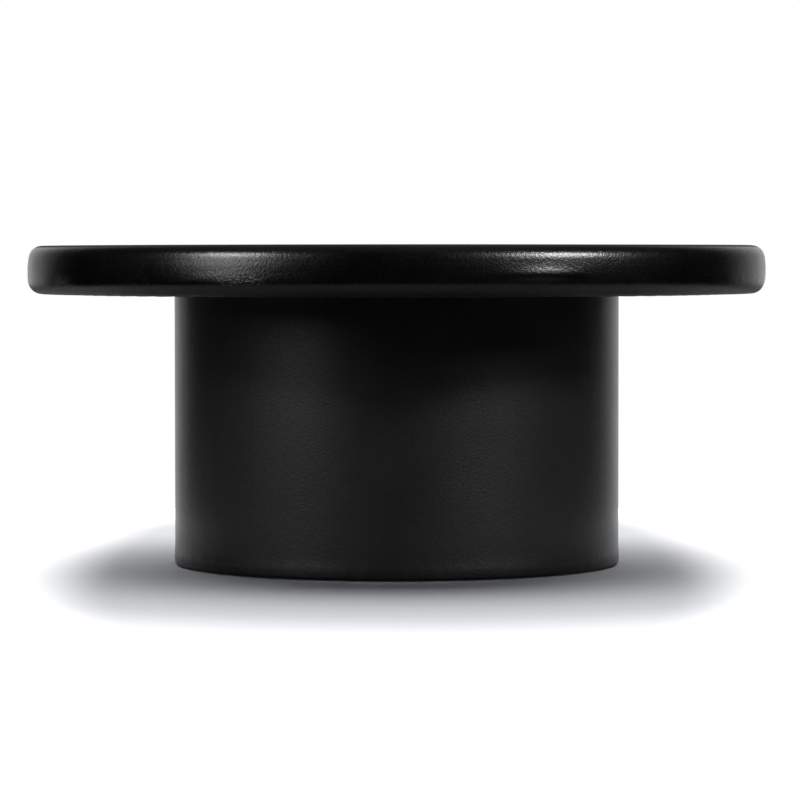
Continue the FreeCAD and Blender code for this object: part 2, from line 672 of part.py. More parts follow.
os.makedirs("parts", exist_ok=True)
for sub_part in sub_parts:
    sub_part.Shape.exportStep(f"parts/{sub_part.Label}.step")
    print(f"{sub_part.Label}: {len(sub_part.Shape.Solids)} solids, {sub_part.Shape.Volume:.1f} mm3")
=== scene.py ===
import math

import bpy
import numpy as np
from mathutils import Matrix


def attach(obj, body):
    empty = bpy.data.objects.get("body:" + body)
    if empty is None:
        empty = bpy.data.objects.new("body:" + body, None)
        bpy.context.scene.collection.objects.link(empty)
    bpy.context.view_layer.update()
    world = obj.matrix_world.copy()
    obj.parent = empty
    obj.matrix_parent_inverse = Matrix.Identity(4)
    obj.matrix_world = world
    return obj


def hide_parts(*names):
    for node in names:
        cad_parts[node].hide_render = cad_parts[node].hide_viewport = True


# A round cocktail table: a thick leather-covered top on a leather-covered drum with levelling feet.
# Metres, with the origin on the floor under the middle of the drum and +Z up.
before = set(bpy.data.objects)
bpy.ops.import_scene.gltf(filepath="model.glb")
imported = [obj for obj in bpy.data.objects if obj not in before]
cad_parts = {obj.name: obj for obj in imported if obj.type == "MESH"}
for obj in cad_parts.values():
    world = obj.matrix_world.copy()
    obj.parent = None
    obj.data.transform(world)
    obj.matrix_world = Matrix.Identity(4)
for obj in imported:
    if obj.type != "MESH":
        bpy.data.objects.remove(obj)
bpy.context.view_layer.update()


# The three rings of the drum: birch plywood cut to hoops, with the plies showing on the cut edges.
# The top and base rings are screwed to the posts, and the middle one is notched round them.
RING_PLY = 0.0017
BIRCH_PALE = (0.52, 0.38, 0.23, 1)
BIRCH_DARK = (0.33, 0.21, 0.11, 1)
GLUE_BROWN = (0.11, 0.055, 0.025, 1)


def feed(tree, socket, value):
    """Gives a socket another node's output, or a plain value."""
    if isinstance(value, bpy.types.NodeSocket):
        tree.links.new(value, socket)
    else:
        socket.default_value = value


def texture(tree, kind, output, settings=None, **sockets):
    """Adds a node with named sockets and returns one of its outputs."""
    made = tree.nodes.new(kind)
    for name, value in (settings or {}).items():
        setattr(made, name, value)
    for name, value in sockets.items():
        feed(tree, made.inputs[name.replace("_", " ")], value)
    return made.outputs[output]


def noise(tree, vector, scale, detail=2.0, roughness=0.5, distortion=0.0):
    return texture(
        tree, "ShaderNodeTexNoise", "Fac", Vector=vector, Scale=scale, Detail=detail,
        Roughness=roughness, Distortion=distortion,
    )


def sums(tree, operation, *values):
    """A maths node on plain numbers and outputs."""
    made = tree.nodes.new("ShaderNodeMath")
    made.operation = operation
    for socket, value in zip(made.inputs, values):
        feed(tree, socket, value)
    return made.outputs[0]


def vectors(tree, operation, *values):
    """A vector maths node on vectors and outputs."""
    made = tree.nodes.new("ShaderNodeVectorMath")
    made.operation = operation
    for socket, value in zip(made.inputs, values):
        feed(tree, socket, value)
    return made.outputs["Value" if operation == "LENGTH" else "Vector"]


def graded(tree, value, low, high, start=0.0, end=1.0):
    """Eases a value from start to end as it goes from low to high."""
    made = tree.nodes.new("ShaderNodeMapRange")
    made.interpolation_type = "SMOOTHSTEP"
    for socket, number in zip(made.inputs, (value, low, high, start, end)):
        feed(tree, socket, number)
    return made.outputs[0]


def tinted(tree, amount, first, second, blend="MIX"):
    """Mixes two colours."""
    made = tree.nodes.new("ShaderNodeMix")
    made.data_type = "RGBA"
    made.blend_type = blend
    for index, value in ((0, amount), (6, first), (7, second)):
        feed(tree, made.inputs[index], value)
    return made.outputs[2]


def split(tree, vector):
    made = tree.nodes.new("ShaderNodeSeparateXYZ")
    feed(tree, made.inputs[0], vector)
    return made.outputs


def joined(tree, x, y, z):
    made = tree.nodes.new("ShaderNodeCombineXYZ")
    for socket, value in zip(made.inputs, (x, y, z)):
        feed(tree, socket, value)
    return made.outputs[0]


def new_effect(name, inputs, outputs):
    """A shader node group, with its input sockets' outputs and its output sockets."""
    effect = bpy.data.node_groups.new(name, "ShaderNodeTree")
    for label, kind in inputs:
        effect.interface.new_socket(label, in_out="INPUT", socket_type="NodeSocket" + kind)
    for label, kind in outputs:
        effect.interface.new_socket(label, in_out="OUTPUT", socket_type="NodeSocket" + kind)
    source = effect.nodes.new("NodeGroupInput").outputs
    result = effect.nodes.new("NodeGroupOutput").inputs
    return effect, source, result


def use_effect(tree, effect, **sockets):
    """Places an effect in a material and returns its outputs."""
    made = tree.nodes.new("ShaderNodeGroup")
    made.node_tree = effect
    for name, value in sockets.items():
        feed(tree, made.inputs[name.replace("_", " ")], value)
    return made.outputs


def new_finish(name, constants):
    """A material, with the plain numbers of its shader set on the shader's own sockets."""
    finish = bpy.data.materials.new(name)
    finish.use_nodes = True
    tree = finish.node_tree
    shader = tree.nodes["Principled BSDF"]
    for label, value in constants.items():
        shader.inputs[label].default_value = value
    return finish, tree, shader


def place_of(tree):
    """The position on the piece, in metres in the table's frame."""
    return tree.nodes.new("ShaderNodeTexCoord").outputs["Object"]


def facing_of(tree):
    """The outward direction of the surface, in the table's frame."""
    return split(tree, tree.nodes.new("ShaderNodeTexCoord").outputs["Normal"])


def roughen(tree, shader, height, distance):
    """Turns a height, which is 1 at a real height of distance, into the shader's normal."""
    normal = texture(
        tree, "ShaderNodeBump", "Normal", Height=height, Distance=distance, Strength=1.0
    )
    feed(tree, shader.inputs["Normal"], normal)


def dress(finish, *names):
    """Gives CAD pieces a finish."""
    for name in names:
        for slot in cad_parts[name].material_slots:
            slot.material = finish


def make_wood_grain():
    """Growth rings, fine streaks and pores of wood whose grain runs along x."""
    effect, source, result = new_effect(
        "wood_grain",
        [("Position", "Vector"), ("Ring Spacing", "Float")],
        [("Tone", "Float"), ("Pores", "Float"), ("Height", "Float")],
    )
    position = source["Position"]
    long_way = vectors(effect, "MULTIPLY", position, (0.09, 1.0, 1.0))
    drift = noise(effect, long_way, scale=14.0, detail=3.0)
    across = split(effect, position)
    swept = sums(effect, "ADD", across["Y"], sums(effect, "MULTIPLY", across["Z"], 0.45))
    swept = sums(effect, "ADD", swept, sums(effect, "MULTIPLY", drift, 0.05))
    ring = sums(effect, "FRACT", sums(effect, "DIVIDE", swept, source["Ring Spacing"]))
    late_wood = graded(effect, ring, 0.35, 1.0)
    drawn_out = vectors(effect, "MULTIPLY", position, (0.02, 1.0, 1.0))
    streaks = noise(effect, drawn_out, scale=700.0, detail=4.0, roughness=0.6)
    tone = sums(effect, "ADD", sums(effect, "MULTIPLY", late_wood, 0.6),
                sums(effect, "MULTIPLY", streaks, 0.4))
    pore_noise = noise(
        effect, vectors(effect, "MULTIPLY", position, (0.06, 1.0, 1.0)), scale=1800.0, detail=1.0
    )
    pores = graded(effect, pore_noise, 0.62, 0.72)
    height = sums(effect, "SUBTRACT", sums(effect, "MULTIPLY", streaks, 0.6),
                  sums(effect, "MULTIPLY", pores, 0.4))
    feed(effect, result["Tone"], tone)
    feed(effect, result["Pores"], pores)
    feed(effect, result["Height"], height)
    return effect


def make_ply_layers():
    """The bands that plies show on a cut edge, with a thin glue line between two plies."""
    effect, source, result = new_effect(
        "ply_layers",
        [("Depth", "Float"), ("Ply", "Float")],
        [("Band", "Float"), ("Glue", "Float")],
    )
    count = sums(effect, "DIVIDE", source["Depth"], source["Ply"])
    within = sums(effect, "FRACT", count)
    from_middle = sums(effect, "ABSOLUTE", sums(effect, "SUBTRACT", within, 0.5))
    odd = sums(effect, "FRACT", sums(effect, "MULTIPLY", sums(effect, "FLOOR", count), 0.5))
    feed(effect, result["Band"], sums(effect, "MULTIPLY", odd, 2.0))
    feed(effect, result["Glue"], graded(effect, from_middle, 0.43, 0.48))
    return effect


wood_grain = make_wood_grain()
ply_layers = make_ply_layers()


def plywood_finish(name, ply, grain_turn, on_edge, depth):
    """Birch plywood: veneer on its faces, plies on its edges."""
    finish, tree, shader = new_finish(name, {"Specular IOR Level": 0.3})
    place = place_of(tree)
    turned = texture(
        tree, "ShaderNodeMapping", "Vector", Vector=place, Rotation=grain_turn
    )
    veneer = use_effect(tree, wood_grain, Position=turned, Ring_Spacing=0.012)
    layers = use_effect(tree, ply_layers, Depth=depth(tree, place), Ply=ply)
    face = tinted(tree, veneer["Tone"], BIRCH_PALE, BIRCH_DARK)
    face = tinted(tree, sums(tree, "MULTIPLY", veneer["Pores"], 0.5), face, GLUE_BROWN)
    edge = tinted(tree, layers["Band"], BIRCH_PALE, BIRCH_DARK)
    edge = tinted(tree, sums(tree, "MULTIPLY", layers["Glue"], 0.8), edge, GLUE_BROWN)
    edge = tinted(tree, noise(tree, place, scale=900.0, detail=3.0), edge, BIRCH_DARK, "MULTIPLY")
    cut_edge = on_edge(tree)
    feed(tree, shader.inputs["Base Color"], tinted(tree, cut_edge, face, edge))
    feed(tree, shader.inputs["Roughness"], graded(tree, cut_edge, 0.0, 1.0, 0.55, 0.75))
    roughen(tree, shader, veneer["Height"], distance=0.00015)
    return finish


def is_upright(tree):
    """1 on an upright surface and 0 on a level one."""
    up = sums(tree, "ABSOLUTE", facing_of(tree)["Z"])
    return graded(tree, up, 0.7, 0.4)


def is_level(tree):
    """1 on a level surface and 0 on an upright one."""
    up = sums(tree, "ABSOLUTE", facing_of(tree)["Z"])
    return graded(tree, up, 0.4, 0.7)


def height_in_ring(tree, place):
    """The way through the plies of a ring, which lie level."""
    return split(tree, place)["Z"]


ring_plywood = plywood_finish("ring_plywood", RING_PLY, (0, 0, 0.4), is_upright, height_in_ring)
dress(ring_plywood, "drum_top_ring", "drum_mid_ring", "drum_base_ring")


# The eight posts of the drum: planed pine, square, with the grain upright.
# Each stands between the top and base rings, held by one screw at each end.
PINE_PALE = (0.60, 0.42, 0.22, 1)
PINE_DARK = (0.36, 0.20, 0.085, 1)
KNOT_BROWN = (0.12, 0.055, 0.022, 1)


def pine_finish(name, grain_turn, ring_spacing):
    """Planed pine with knots, its grain turned to run along the piece."""
    finish, tree, shader = new_finish(name, {"Specular IOR Level": 0.3})
    place = place_of(tree)
    turned = texture(
        tree, "ShaderNodeMapping", "Vector", Vector=place, Rotation=grain_turn
    )
    grain = use_effect(tree, wood_grain, Position=turned, Ring_Spacing=ring_spacing)
    knot_distance = texture(
        tree, "ShaderNodeTexVoronoi", "Distance",
        Vector=vectors(tree, "MULTIPLY", turned, (0.5, 1.0, 1.0)), Scale=11.0,
    )
    knots = graded(tree, knot_distance, 0.12, 0.05)
    colour = tinted(tree, grain["Tone"], PINE_PALE, PINE_DARK)
    colour = tinted(tree, sums(tree, "MULTIPLY", grain["Pores"], 0.35), colour, KNOT_BROWN)
    colour = tinted(tree, knots, colour, KNOT_BROWN)
    feed(tree, shader.inputs["Base Color"], colour)
    feed(tree, shader.inputs["Roughness"], graded(tree, grain["Tone"], 0.0, 1.0, 0.65, 0.5))
    roughen(tree, shader, grain["Height"], distance=0.0002)
    return finish


upright_pine = pine_finish("upright_pine", grain_turn=(0, math.pi / 2, 0), ring_spacing=0.005)
dress(upright_pine, *[f"post_{index}" for index in range(1, 9)])


# The two layers of bending plywood: thin sheets bent round the rings and glued.
# Each has one butt joint. Their face grain is upright, which is what lets them bend, and their
# plies show at the foot.
WRAP_PLY = 0.00125


def depth_in_wrap(tree, place):
    """The way through the plies of a wrap, outwards from the middle of the drum."""
    across = split(tree, place)
    return vectors(tree, "LENGTH", joined(tree, across["X"], across["Y"], 0.0))


wrap_plywood = plywood_finish(
    "wrap_plywood", WRAP_PLY, (0, math.pi / 2, 0), is_level, depth_in_wrap
)
dress(wrap_plywood, "inner_ply_wrap", "outer_ply_wrap")


# The countersunk screws through the rings into the posts: hardened steel, zinc plated.
# The plating is slightly cloudy, with fine scratches from the driver.
ZINC_BRIGHT = (0.62, 0.63, 0.64, 1)
ZINC_CLOUD = (0.45, 0.45, 0.43, 1)


def make_scuffs():
    """Fine scratches in crossing directions, and a slow cloudiness."""
    effect, source, result = new_effect(
        "scuffs",
        [("Position", "Vector"), ("Fineness", "Float")],
        [("Scratches", "Float"), ("Cloud", "Float")],
    )
    position = source["Position"]
    one_way = vectors(effect, "MULTIPLY", position, (0.08, 1.0, 0.6))
    one_way = noise(effect, one_way, scale=source["Fineness"], detail=2.0)
    other_way = vectors(effect, "MULTIPLY", position, (1.0, 0.08, 0.6))
    other_way = noise(effect, other_way, scale=source["Fineness"], detail=2.0)
    feed(effect, result["Scratches"], graded(
        effect, sums(effect, "MAXIMUM", one_way, other_way), 0.6, 0.75
    ))
    feed(effect, result["Cloud"], noise(effect, position, scale=160.0, detail=4.0, roughness=0.6))
    return effect


scuffs = make_scuffs()


def zinc_finish(name, bright, cloudy, fineness):
    """Zinc-plated steel, cloudy in patches, with fine scratches."""
    finish, tree, shader = new_finish(name, {"Metallic": 1.0})
    marks = use_effect(tree, scuffs, Position=place_of(tree), Fineness=fineness)
    colour = tinted(tree, marks["Cloud"], bright, cloudy)
    feed(tree, shader.inputs["Base Color"], colour)
    rough = sums(tree, "ADD", graded(tree, marks["Cloud"], 0.3, 0.7, 0.26, 0.46),
                 sums(tree, "MULTIPLY", marks["Scratches"], 0.15))
    feed(tree, shader.inputs["Roughness"], rough)
    roughen(tree, shader, marks["Scratches"], distance=0.00002)
    return finish


plated_steel = zinc_finish("plated_steel", ZINC_BRIGHT, ZINC_CLOUD, fineness=2200.0)
dress(plated_steel, "top_post_screws", "base_post_screws")


# The levelling feet: a zinc-plated stem in a tee nut, turning in a pad of black moulded nylon.
# The pad is what stands on the floor, and it is scuffed from being pushed about.
NYLON_BLACK = (0.012, 0.012, 0.013, 1)
NYLON_SCUFFED = (0.06, 0.06, 0.062, 1)


def nylon_finish():
    """Black moulded nylon with a fine grain, paler where it is scuffed."""
    finish, tree, shader = new_finish("black_nylon", {"Specular IOR Level": 0.45})
    place = place_of(tree)
    marks = use_effect(tree, scuffs, Position=place, Fineness=900.0)
    worn = sums(tree, "MULTIPLY", marks["Scratches"], graded(tree, marks["Cloud"], 0.4, 0.65))
    feed(tree, shader.inputs["Base Color"], tinted(tree, worn, NYLON_BLACK, NYLON_SCUFFED))
    feed(tree, shader.inputs["Roughness"], graded(tree, marks["Cloud"], 0.3, 0.7, 0.42, 0.6))
    roughen(tree, shader, noise(tree, place, scale=2600.0, detail=2.0), distance=0.00006)
    return finish


dress(plated_steel, "tee_nuts", *[f"leveller_stem_{index}" for index in range(1, 5)])
dress(nylon_finish(), *[f"leveller_pad_{index}" for index in range(1, 5)])


# The leather round the drum: one length of black pebble-grained hide, glued to the plywood.
# Its ends are sewn in one upright seam at the back, and its lower edge is pulled under the foot.
LEATHER_BLACK = (0.0020, 0.0020, 0.0022, 1)
LEATHER_FADED = (0.0075, 0.0073, 0.0078, 1)
LEATHER_RUBBED = (0.012, 0.0117, 0.0117, 1)
PEBBLE_SIZE = 0.0028
PEBBLE_DEPTH = 0.00008
LEATHER_GLOSS = 0.13
DRUM_POLISH = 0.38
FLAT_POLISH = 0.66
CLEAR_COAT = 0.5
DRUM_RADIUS = 0.307
DRUM_FOOT = 0.002
DRUM_LEATHER_TOP = 0.3746
DRUM_FOOT_ROUND = 0.003
DRUM_TURN_UNDER_END = 0.285
LEATHER_THICK = 0.0014
DRUM_SEAM_ANGLE = math.pi / 2
DRUM_STAPLES = 48
DRUM_STAPLE_RADIUS = 0.2904
STAPLE_HALF_WIDTH = 0.0065
STAPLE_DENT = 0.0004
DRUM_SLOW_SWELL = 0.00022
DRUM_TIGHT_SWELL = 0.00005
FOOT_SWELL_LEVEL = 0.013
FOOT_SWELL = 0.0008
FOOT_RIPPLE = 0.0003
FOOT_DRIFT = 0.0002
SEAM_GROOVE = 0.0010
SEAM_SHOULDER = 0.0004
SEAM_PUCKER = 0.00014
STITCH_PITCH = 0.012
SEAM_ZONE = math.radians(2.4)
SEAM_ZONE_COUNT = 56
DRUM_COUNT = 620
DRUM_PLEAT = 0.0009
INNER_CORNER_RADIUS = 0.3035
INNER_CORNER_HEIGHT = 0.0062


def make_leather_grain():
    """Pebbles with pores between them, short wrinkles, and the slow drift of a natural hide."""
    effect, source, result = new_effect(
        "leather_grain",
        [("Position", "Vector"), ("Pebble", "Float")],
        [("Height", "Float"), ("Valleys", "Float"), ("Drift", "Float")],
    )
    position = source["Position"]
    scale = sums(effect, "DIVIDE", 1.0, source["Pebble"])
    wander = texture(
        effect, "ShaderNodeTexNoise", "Color", Vector=position,
        Scale=sums(effect, "MULTIPLY", scale, 0.35), Detail=2.0,
    )
    wander = vectors(effect, "SUBTRACT", wander, (0.5, 0.5, 0.5))
    wander = vectors(effect, "MULTIPLY", wander, (0.0022, 0.0022, 0.0022))
    bent = vectors(effect, "ADD", position, wander)
    large = texture(
        effect, "ShaderNodeTexVoronoi", "Distance", {"feature": "DISTANCE_TO_EDGE"},
        Vector=bent, Scale=scale,
    )
    small = texture(
        effect, "ShaderNodeTexVoronoi", "Distance", {"feature": "DISTANCE_TO_EDGE"},
        Vector=bent, Scale=sums(effect, "MULTIPLY", scale, 2.3),
    )
    large_pebbles = graded(effect, large, 0.0, 0.28)
    small_pebbles = graded(effect, small, 0.0, 0.35)
    fine = sums(effect, "MULTIPLY", scale, 5.0)
    pores = noise(effect, position, scale=fine, detail=2.0, roughness=0.6)
    coarse = sums(effect, "MULTIPLY", scale, 0.16)
    ripple = noise(effect, position, scale=coarse, detail=3.0, roughness=0.55, distortion=0.6)
    ridge = sums(effect, "ABSOLUTE", sums(effect, "SUBTRACT", ripple, 0.5))
    wrinkles = graded(effect, ridge, 0.0, 0.03)
    uneven = noise(effect, position, scale=sums(effect, "MULTIPLY", scale, 0.8), detail=1.0)
    height = sums(effect, "MULTIPLY", large_pebbles, 0.5)
    for part, share in ((small_pebbles, 0.15), (pores, 0.12), (wrinkles, 0.25), (uneven, 2.8)):
        height = sums(effect, "ADD", height, sums(effect, "MULTIPLY", part, share))
    valleys = sums(effect, "SUBTRACT", 1.0, sums(
        effect, "MULTIPLY", large_pebbles, sums(effect, "ADD", 0.6, sums(
            effect, "MULTIPLY", small_pebbles, 0.4))
    ))
    feed(effect, result["Height"], height)
    feed(effect, result["Valleys"], valleys)
    feed(effect, result["Drift"], noise(effect, position, scale=7.0, detail=4.0, roughness=0.6))
    return effect


leather_grain = make_leather_grain()


def leather_finish(
    name, grain_depth, polish, gloss=LEATHER_GLOSS, rub_mask=None, lacquer=None, extra_height=None
):
    """Black leather, rubbed a little paler and smoother where hands and feet touch it.
    Polish is its roughness where it is smoothest, gloss how much light it mirrors, and lacquer how
    much clear coat it has, which on the drum is taken off under the top as painted shade."""
    finish, tree, shader = new_finish(
        name, {"Specular IOR Level": gloss, "Coat Roughness": 0.2, "Coat IOR": 1.2}
    )
    place = place_of(tree)
    if lacquer:
        feed(tree, shader.inputs["Coat Weight"], lacquer(tree, place))
    grain = use_effect(tree, leather_grain, Position=place, Pebble=PEBBLE_SIZE)
    faded = sums(tree, "MULTIPLY", graded(tree, grain["Drift"], 0.35, 0.75), 0.7)
    colour = tinted(tree, faded, LEATHER_BLACK, LEATHER_FADED)
    rough = graded(tree, grain["Drift"], 0.3, 0.7, polish, polish + 0.05)
    rough = sums(tree, "ADD", rough, sums(tree, "MULTIPLY", grain["Valleys"], 0.1))
    if rub_mask:
        patchy = graded(tree, grain["Drift"], 0.3, 0.6)
        rubbed = sums(tree, "MULTIPLY", rub_mask(tree, place), patchy)
        rubbed = sums(tree, "MULTIPLY", rubbed, sums(tree, "SUBTRACT", 1.0, grain["Valleys"]))
        colour = tinted(tree, sums(tree, "MULTIPLY", rubbed, 0.5), colour, LEATHER_RUBBED)
        rough = sums(tree, "SUBTRACT", rough, sums(tree, "MULTIPLY", rubbed, 0.05))
    feed(tree, shader.inputs["Base Color"], colour)
    facing_up = facing_of(tree)["Z"]
    rough = sums(tree, "ADD", rough, graded(tree, facing_up, -0.15, -0.8, 0.0, 0.3))
    if polish < FLAT_POLISH:
        duller = graded(tree, facing_up, 0.8, 0.998, 0.0, FLAT_POLISH - polish)
        rough = sums(tree, "ADD", rough, duller)
    feed(tree, shader.inputs["Roughness"], rough)
    height = grain["Height"]
    if extra_height:
        height = sums(tree, "ADD", height, extra_height(tree, place))
    roughen(tree, shader, height, distance=grain_depth)
    return finish


def near_foot(tree, place):
    """1 at the foot of the drum, where shoes rub it."""
    return graded(tree, split(tree, place)["Z"], 0.05, 0.0)


def coat_with_painted_shade(tree, place):
    """The clear coat, taken off under the top as painted shade, but kept at the two sides."""
    across = split(tree, place)
    at_sides = graded(tree, sums(tree, "ABSOLUTE", across["X"]), 0.262, 0.288, 0.0, CLEAR_COAT)
    lower_down = graded(tree, across["Z"], 0.352, 0.285, 0.0, CLEAR_COAT)
    return sums(tree, "MAXIMUM", at_sides, lower_down)


def waves(seed, count, lowest, highest, height_rate):
    """A slow undulation round the table, as a function of angle and height, between -1 and 1."""
    draw = np.random.default_rng(seed)
    turns = draw.integers(lowest, highest + 1, count)
    starts = draw.uniform(0, 2 * math.pi, count)
    rates = draw.uniform(-height_rate, height_rate, count)
    shares = draw.uniform(0.4, 1.0, count)
    shares = shares / shares.sum()

    def at(angle, height):
        total = 0.0
        for turn, start, rate, share in zip(turns, starts, rates, shares):
            total = total + share * np.cos(turn * angle + start + rate * height)
        return total

    return at


def bell(distance, width):
    """1 at no distance, falling off smoothly over a width."""
    return np.exp(-((distance / width) ** 2))


def staple_dents(angle, radius, staple_radius, count):
    """How far a round of staples presses into a surface, from 0 to 1."""
    spacing = 2 * math.pi / count
    off = (angle % spacing) - spacing / 2
    along = off * staple_radius
    pressed = 1 / (1 + (along / STAPLE_HALF_WIDTH) ** 6)
    return pressed * bell(radius - staple_radius - 0.0004, 0.0022)


def woven_rings(name, rings, loop):
    """A mesh from rings of points. Next to each other, rings have the same count, or one has twice
    the other's, or one point. With loop, the last ring joins the first."""
    starts = np.cumsum([0] + [len(ring) for ring in rings])
    pairs = [(index, index + 1) for index in range(len(rings) - 1)]
    if loop:
        pairs.append((len(rings) - 1, 0))
    faces = []
    for first, second in pairs:
        few, many = len(rings[first]), len(rings[second])
        low, high = int(starts[first]), int(starts[second])
        flip = few > many
        if flip:
            few, many, low, high = many, few, high, low
        fresh = []
        for index in range(few):
            after = (index + 1) % few
            if few == 1:
                fresh += [(low, high + (step + 1) % many, high + step) for step in range(many)]
            elif few == many:
                fresh.append((low + index, low + after, high + after, high + index))
            else:
                near, middle, far = 2 * index, 2 * index + 1, (2 * index + 2) % many
                fresh.append((low + index, high + middle, high + near))
                fresh.append((low + index, low + after, high + middle))
                fresh.append((low + after, high + far, high + middle))
        faces += [tuple(reversed(face)) for face in fresh] if flip else fresh
    mesh = bpy.data.meshes.new(name)
    mesh.from_pydata(np.concatenate(rings).tolist(), [], faces)
    mesh.validate()
    mesh.update()
    for polygon in mesh.polygons:
        polygon.use_smooth = True
    piece = bpy.data.objects.new(name, mesh)
    bpy.context.scene.collection.objects.link(piece)
    return piece


def ring_at(angles, radius, height):
    """Points round the middle of the table, with a radius and a height for each angle."""
    radius = np.broadcast_to(radius, angles.shape)
    height = np.broadcast_to(height, angles.shape)
    return np.stack([radius * np.cos(angles), radius * np.sin(angles), height], axis=1)


def make_drum_leather():
    """One closed sheet: down the outside of the drum, round its foot and under, and up inside."""
    coarse = np.linspace(SEAM_ZONE, 2 * math.pi - SEAM_ZONE, DRUM_COUNT)
    fine = np.linspace(-SEAM_ZONE, SEAM_ZONE, SEAM_ZONE_COUNT)[1:-1]
    angles = DRUM_SEAM_ANGLE + np.concatenate([fine, coarse])
    from_seam = (np.concatenate([fine, coarse]) + math.pi) % (2 * math.pi) - math.pi
    along_seam = from_seam * DRUM_RADIUS
    slow = waves(seed=11, count=9, lowest=3, highest=13, height_rate=9.0)
    tight = waves(seed=12, count=10, lowest=40, highest=90, height_rate=25.0)

    def swell(height):
        """How far the leather stands off the plywood, in metres."""
        off = DRUM_SLOW_SWELL * slow(angles, height) + DRUM_TIGHT_SWELL * tight(angles, height)
        foot = bell(height - FOOT_SWELL_LEVEL, 0.010)
        bulge = FOOT_SWELL + FOOT_RIPPLE * tight(angles, 0.0) + FOOT_DRIFT * slow(angles, 0.3)
        off = off + foot * bulge
        beside_seam = np.abs(along_seam)
        stitches = np.cos(2 * math.pi * height / STITCH_PITCH)
        pucker = SEAM_PUCKER * stitches * bell(beside_seam - 0.004, 0.003)
        shoulder = SEAM_SHOULDER * bell(beside_seam - 0.0032, 0.0018)
        groove = SEAM_GROOVE * bell(along_seam, 0.0007)
        return off + shoulder + pucker - groove

    rings = []
    for height in np.concatenate([
        [DRUM_LEATHER_TOP, DRUM_LEATHER_TOP - 0.0012],
        np.linspace(0.371, 0.05, 34),
        np.linspace(0.046, DRUM_FOOT + DRUM_FOOT_ROUND, 14),
    ]):
        rings.append(ring_at(angles, DRUM_RADIUS + swell(height), height))
    corner = DRUM_RADIUS - DRUM_FOOT_ROUND
    foot_swell = swell(DRUM_FOOT + DRUM_FOOT_ROUND)
    for tilt in np.linspace(0, math.pi / 2, 7)[1:]:
        reach = DRUM_FOOT_ROUND + foot_swell * math.cos(tilt)
        height = DRUM_FOOT + DRUM_FOOT_ROUND - reach * math.sin(tilt)
        rings.append(ring_at(angles, corner + reach * math.cos(tilt), height))
    pleats = np.maximum(tight(angles, 0.02), 0.0)
    for radius in np.linspace(corner, DRUM_TURN_UNDER_END, 15)[1:]:
        inward = (corner - radius) / (corner - DRUM_TURN_UNDER_END)
        dent = staple_dents(angles, radius, DRUM_STAPLE_RADIUS, DRUM_STAPLES)
        rise = STAPLE_DENT * dent - DRUM_PLEAT * inward * pleats * (1 - dent)
        rings.append(ring_at(angles, radius, DRUM_FOOT + 0.00002 + rise))
    inner_foot = DRUM_FOOT + LEATHER_THICK - 0.0001
    rings.append(ring_at(angles, DRUM_TURN_UNDER_END, inner_foot))
    rings.append(ring_at(angles, INNER_CORNER_RADIUS, inner_foot))
    inside = DRUM_RADIUS - LEATHER_THICK
    inner_heights = [[INNER_CORNER_HEIGHT], np.linspace(0.05, DRUM_LEATHER_TOP, 6)]
    for height in np.concatenate(inner_heights):
        rings.append(ring_at(angles, inside, height))
    return woven_rings("drum_leather", rings[::-1], loop=True)


drum_leather = make_drum_leather()
# Under the top the drum's clear coat is taken off, as painted shade.
drum_leather.data.materials.append(leather_finish(
    "drum_leather_finish", PEBBLE_DEPTH, DRUM_POLISH, rub_mask=near_foot, lacquer=coat_with_painted_shade
))
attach(drum_leather, "table")
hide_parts("drum_hide")


# The staples that hold the turned-under leather of the drum: bright flat wire, zinc plated.
# They are shot through the leather into the base ring.
WIRE_BRIGHT = (0.68, 0.68, 0.67, 1)
WIRE_CLOUD = (0.5, 0.49, 0.46, 1)

staple_wire = zinc_finish("staple_wire", WIRE_BRIGHT, WIRE_CLOUD, fineness=3500.0)
dress(staple_wire, "drum_staples")


# The core of the top: two fibreboard panels, glued up with a pine rim, pine ribs and a plywood hub
# between them. The edges are rounded over with a router before the leather goes on.
FIBRE_TAN = (0.36, 0.25, 0.145, 1)
FIBRE_DARK = (0.19, 0.12, 0.065, 1)


def fibreboard_finish():
    """Pressed wood fibre, finely flecked, with a slow drift in its tone."""
    finish, tree, shader = new_finish("fibreboard", {"Specular IOR Level": 0.2})
    place = place_of(tree)
    drawn_out = vectors(tree, "MULTIPLY", place, (1.0, 0.35, 1.0))
    flecks = noise(tree, drawn_out, scale=900.0, detail=4.0, roughness=0.65)
    slow = noise(tree, place, scale=12.0, detail=3.0)
    mottle = sums(tree, "ADD", sums(tree, "MULTIPLY", flecks, 0.65),
                  sums(tree, "MULTIPLY", slow, 0.35))
    feed(tree, shader.inputs["Base Color"], tinted(
        tree, graded(tree, mottle, 0.35, 0.65), FIBRE_TAN, FIBRE_DARK
    ))
    feed(tree, shader.inputs["Roughness"], graded(tree, flecks, 0.3, 0.7, 0.75, 0.9))
    roughen(tree, shader, flecks, distance=0.00012)
    return finish


dress(fibreboard_finish(), "upper_panel", "lower_panel")
for index in range(6):
    middle_of_segment = math.radians(60 * index + 30)
    along_rim = (0, 0, -middle_of_segment - math.pi / 2)
    rim_pine = pine_finish(f"rim_pine_{index + 1}", grain_turn=along_rim, ring_spacing=0.006)
    dress(rim_pine, f"rim_segment_{index + 1}")
    along_rib = (0, 0, -middle_of_segment)
    rib_pine = pine_finish(f"rib_pine_{index + 1}", grain_turn=along_rib, ring_spacing=0.004)
    dress(rib_pine, f"core_rib_{index + 1}")
dress(ring_plywood, "hub_block")


